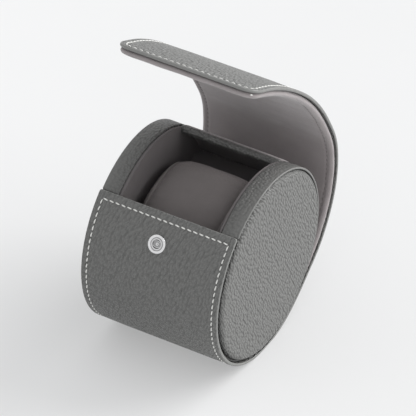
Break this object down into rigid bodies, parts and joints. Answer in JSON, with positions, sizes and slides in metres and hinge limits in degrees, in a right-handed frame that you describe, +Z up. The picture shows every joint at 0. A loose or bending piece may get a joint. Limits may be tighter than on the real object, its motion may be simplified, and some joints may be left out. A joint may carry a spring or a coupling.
{
  "type": "watch travel case",
  "caption": "Round leather travel case for one watch: a drum with a lift-out pillow and a long padded flap that curls over and snaps shut.",
  "frame": {"origin": "centre of the flat that the drum stands on, under the middle of its axis", "axes": "+X along the drum to its right end, +Y to the back where the flap leaves it, +Z up"},
  "size_m": [0.076, 0.1208, 0.1693],
  "materials": {
    "leather_wrap": "pebble-grain grey leather, satin",
    "leather_end": "pebble-grain grey leather on padding",
    "leather_band": "pebble-grain grey leather",
    "flap_lining": "warm grey microsuede over padding",
    "bay_fabric": "dark grey microsuede",
    "back_fabric": "warm grey microsuede",
    "pillow_fabric": "grey microsuede over foam",
    "foam": "soft foam insert",
    "board": "fibreboard and greyboard",
    "snap_metal": "nickel-plated snap"
  },
  "bodies": {
    "case": {"tube_core": "board", "left_tube_ring": "board", "right_tube_ring": "board", "wrap_board": "board", "back_cover": "back_fabric", "outer_wrap": "leather_wrap", "left_band": "leather_band", "right_band": "leather_band", "left_end_block": "board", "right_end_block": "board", "left_end_panel": "leather_end", "right_end_panel": "leather_end", "left_bay_wall": "bay_fabric", "right_bay_wall": "bay_fabric", "bay_lining": "bay_fabric", "rear_lip": "leather_band", "bay_bed": "bay_fabric", "snap_socket": "snap_metal", "socket_rivet": "snap_metal"},
    "flap_root": {"flap_leather_1": "leather_wrap", "flap_lining_1": "flap_lining"},
    "flap_back": {"flap_leather_2": "leather_wrap", "flap_lining_2": "flap_lining", "flap_leather_3": "leather_wrap", "flap_lining_3": "flap_lining", "flap_leather_4": "leather_wrap", "flap_lining_4": "flap_lining"},
    "flap_shoulder": {"flap_leather_5": "leather_wrap", "flap_lining_5": "flap_lining"},
    "flap_upper": {"flap_leather_6": "leather_wrap", "flap_lining_6": "flap_lining"},
    "flap_front": {"flap_leather_7": "leather_wrap", "flap_lining_7": "flap_lining"},
    "flap_tip": {"flap_leather_8": "leather_wrap", "flap_lining_8": "flap_lining", "snap_stud": "snap_metal", "stud_washer": "snap_metal"},
    "pillow": {"pillow_core": "foam", "pillow_cover": "pillow_fabric", "pillow_end_left": "pillow_fabric", "pillow_end_right": "pillow_fabric"}
  },
  "joints": [
    {"name": "flap_lean", "type": "hinge", "parent": "case", "child": "flap_root", "pos_m": [0, 0.03525, 0.01452], "axis": [-1, 0, 0], "range_deg": [0, 45]},
    {"name": "flap_curl", "type": "hinge", "parent": "flap_root", "child": "flap_back", "pos_m": [0, 0.05441, 0.03123], "axis": [-1, 0, 0], "range_deg": [-19, 11.4]},
    {"name": "flap_shoulder_bend", "type": "hinge", "parent": "flap_back", "child": "flap_shoulder", "pos_m": [0, 0.05521, 0.10308], "axis": [-1, 0, 0], "range_deg": [-14.51, 8.71]},
    {"name": "flap_upper_bend", "type": "hinge", "parent": "flap_shoulder", "child": "flap_upper", "pos_m": [0, 0.04015, 0.12382], "axis": [-1, 0, 0], "range_deg": [-15.01, 9.01]},
    {"name": "flap_front_bend", "type": "hinge", "parent": "flap_upper", "child": "flap_front", "pos_m": [0, 0.02154, 0.14143], "axis": [-1, 0, 0], "range_deg": [-17.51, 10.51]},
    {"name": "flap_tip_bend", "type": "hinge", "parent": "flap_front", "child": "flap_tip", "pos_m": [0, 0.00064, 0.15626], "axis": [-1, 0, 0], "range_deg": [-17.51, 10.51]},
    {"name": "pillow_lift", "type": "slide", "parent": "case", "child": "pillow", "axis": [0, 0.0349, 0.9994], "range_m": [0, 0.008]}
  ],
  "couplings": [
    {"joint": "flap_shoulder_bend", "follows": "flap_curl", "ratio": 0.76316},
    {"joint": "flap_upper_bend", "follows": "flap_curl", "ratio": 0.78947},
    {"joint": "flap_front_bend", "follows": "flap_curl", "ratio": 0.92105},
    {"joint": "flap_tip_bend", "follows": "flap_curl", "ratio": 0.92105}
  ]
}
